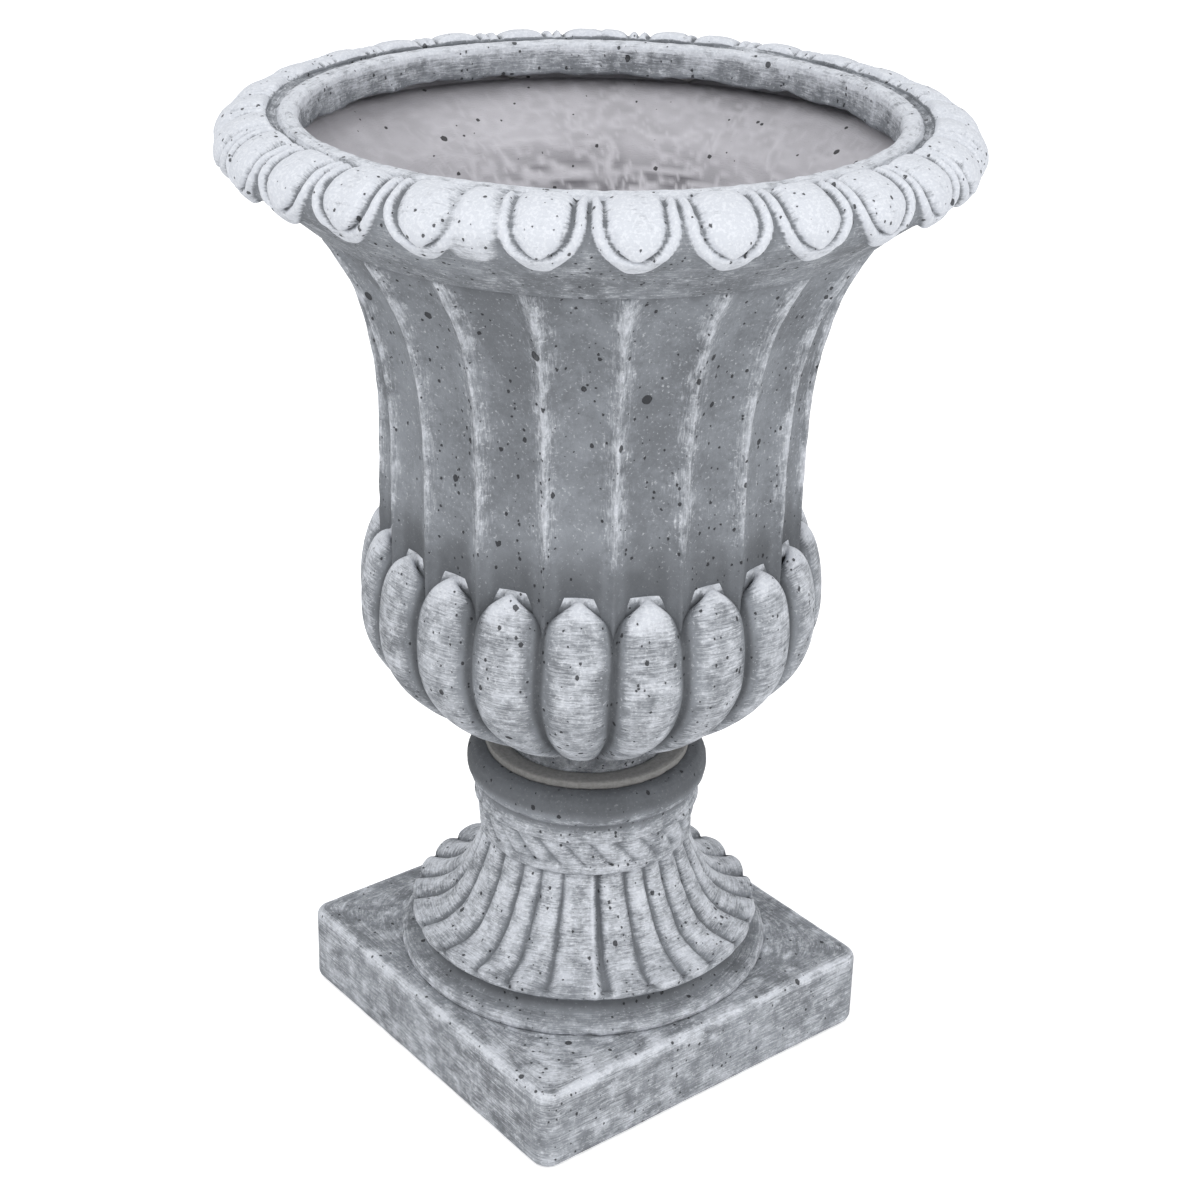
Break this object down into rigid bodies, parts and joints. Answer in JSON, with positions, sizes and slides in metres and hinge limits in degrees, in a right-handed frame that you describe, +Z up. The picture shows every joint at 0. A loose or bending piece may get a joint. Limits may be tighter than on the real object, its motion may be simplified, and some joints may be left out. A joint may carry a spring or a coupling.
{
  "type": "urn planter",
  "caption": "Tall classical urn planter with a fluted bell, gadrooned belly, egg-and-tongue rolled rim, ribbed foot and square plinth, open at the mouth.",
  "frame": {"origin": "centre of the plinth's underside, on the ground", "axes": "+Z up along the urn's axis, +X and +Y along the plinth's sides"},
  "size_m": [0.4124, 0.4124, 0.58],
  "materials": {
    "cast_stone": "matt cast fibre-clay, grey with a dry-brushed white wash and small air pits",
    "fibre_mat": "matt, wrinkled glass-fibre mat soaked in grey cement mix",
    "mortar": "matt, rough grey mortar"
  },
  "bodies": {
    "root": {"bowl_rim": "cast_stone", "bowl_bell": "cast_stone", "bowl_belly": "cast_stone", "bowl_base": "cast_stone", "egg_frieze": "cast_stone", "bowl_lining": "fibre_mat", "rim_webs": "mortar", "plinth": "cast_stone", "pedestal_foot": "cast_stone", "pedestal_collar": "cast_stone", "pedestal_lining": "fibre_mat", "joint_mortar": "mortar"}
  },
  "joints": []
}
